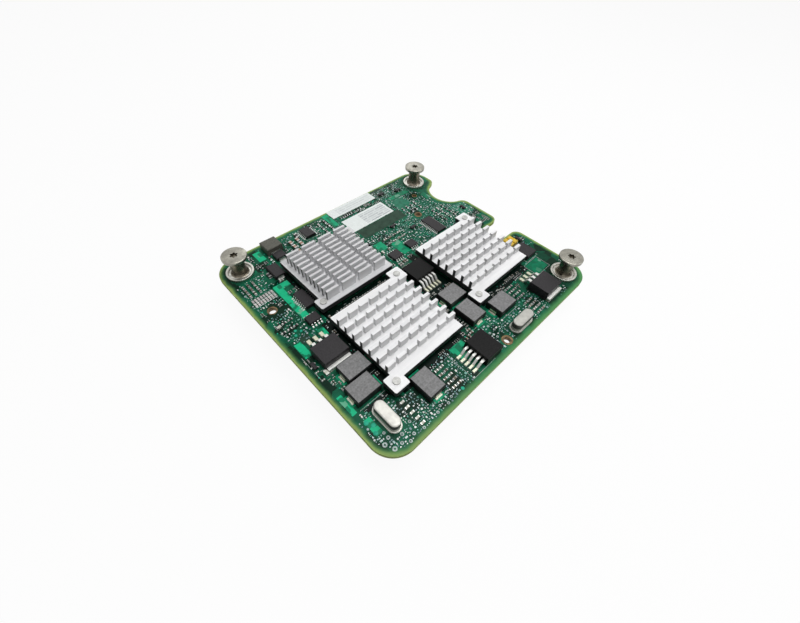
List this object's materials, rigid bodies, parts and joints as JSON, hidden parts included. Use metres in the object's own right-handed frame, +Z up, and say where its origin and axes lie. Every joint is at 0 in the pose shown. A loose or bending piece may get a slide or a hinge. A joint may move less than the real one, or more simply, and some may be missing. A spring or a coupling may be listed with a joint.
{
  "type": "mezzanine network card",
  "caption": "Small square server daughter card with finned heat sinks, power parts, corner captive screws and a plug underneath that stacks it on a host board.",
  "frame": {"origin": "under the middle of the board's outline, at the mating face of the plug", "axes": "+Z up through the board to the heat sinks, +X along the board's longer side towards its notched edge"},
  "size_m": [0.112, 0.102, 0.0208],
  "materials": {
    "board_green": "glossy solder mask over glass fibre",
    "plug_plastic": "moulded",
    "gold_plate": "plated",
    "sink_aluminium": "matte extruded and cut",
    "anchor_metal": "satin",
    "pad_grey": "soft",
    "chip_black": "moulded",
    "package_black": "moulded",
    "inductor_grey": "sintered and coated",
    "tinned_metal": "tin plated",
    "nickel_metal": "nickel plated, turned",
    "can_metal": "drawn can",
    "olive_plastic": "moulded",
    "yellow_plastic": "moulded",
    "capacitor_ceramic": "fired",
    "resistor_ceramic": "glazed",
    "label_paper": "plain"
  },
  "bodies": {
    "card": {"circuit_board": "board_green", "plug_housing": "plug_plastic", "plug_contacts": "gold_plate", "heat_sink_front": "sink_aluminium", "heat_sink_right": "sink_aluminium", "heat_sink_left": "sink_aluminium", "heat_sink_anchors": "anchor_metal", "controller_chip_front": "chip_black", "thermal_pad_front": "pad_grey", "controller_chip_right": "chip_black", "thermal_pad_right": "pad_grey", "controller_chip_left": "chip_black", "thermal_pad_left": "pad_grey", "screw_ferrule_left": "nickel_metal", "screw_ferrule_back": "nickel_metal", "screw_ferrule_right": "nickel_metal", "power_inductor_1": "inductor_grey", "power_inductor_2": "inductor_grey", "power_inductor_3": "inductor_grey", "power_inductor_4": "inductor_grey", "power_inductor_5": "inductor_grey", "power_inductor_6": "inductor_grey", "inductor_terminals": "tinned_metal", "power_transistor_left": "package_black", "power_transistor_left_leads": "tinned_metal", "power_transistor_right": "package_black", "power_transistor_right_leads": "tinned_metal", "regulator_front": "package_black", "regulator_front_leads": "tinned_metal", "regulator_back": "package_black", "regulator_back_leads": "tinned_metal", "crystal_left": "can_metal", "crystal_front": "can_metal", "memory_chip": "package_black", "bus_buffer_chip": "package_black", "sensor_chip": "package_black", "clock_chip": "package_black", "logic_chips": "package_black", "chip_pins": "tinned_metal", "tall_capacitor": "olive_plastic", "moulded_capacitors": "package_black", "yellow_capacitors": "yellow_plastic", "chip_capacitors": "capacitor_ceramic", "chip_resistors": "resistor_ceramic", "edge_label": "label_paper", "main_label": "label_paper"},
    "left_clip": {"retaining_clip_left": "nickel_metal"},
    "left_screw": {"captive_screw_left": "nickel_metal"},
    "back_clip": {"retaining_clip_back": "nickel_metal"},
    "back_screw": {"captive_screw_back": "nickel_metal"},
    "right_clip": {"retaining_clip_right": "nickel_metal"},
    "right_screw": {"captive_screw_right": "nickel_metal"}
  },
  "joints": [
    {"name": "left_screw_lift", "type": "slide", "parent": "card", "child": "left_clip", "axis": [0, 0, 1], "range_m": [0, 0.003]},
    {"name": "left_screw_turn", "type": "hinge", "parent": "left_clip", "child": "left_screw", "pos_m": [-0.0485, 0.0417, 0], "axis": [0, 0, 1], "continuous": true},
    {"name": "back_screw_lift", "type": "slide", "parent": "card", "child": "back_clip", "axis": [0, 0, 1], "range_m": [0, 0.003]},
    {"name": "back_screw_turn", "type": "hinge", "parent": "back_clip", "child": "back_screw", "pos_m": [0.0471, 0.0422, 0], "axis": [0, 0, 1], "continuous": true},
    {"name": "right_screw_lift", "type": "slide", "parent": "card", "child": "right_clip", "axis": [0, 0, 1], "range_m": [0, 0.003]},
    {"name": "right_screw_turn", "type": "hinge", "parent": "right_clip", "child": "right_screw", "pos_m": [0.0472, -0.0432, 0], "axis": [0, 0, 1], "continuous": true}
  ]
}
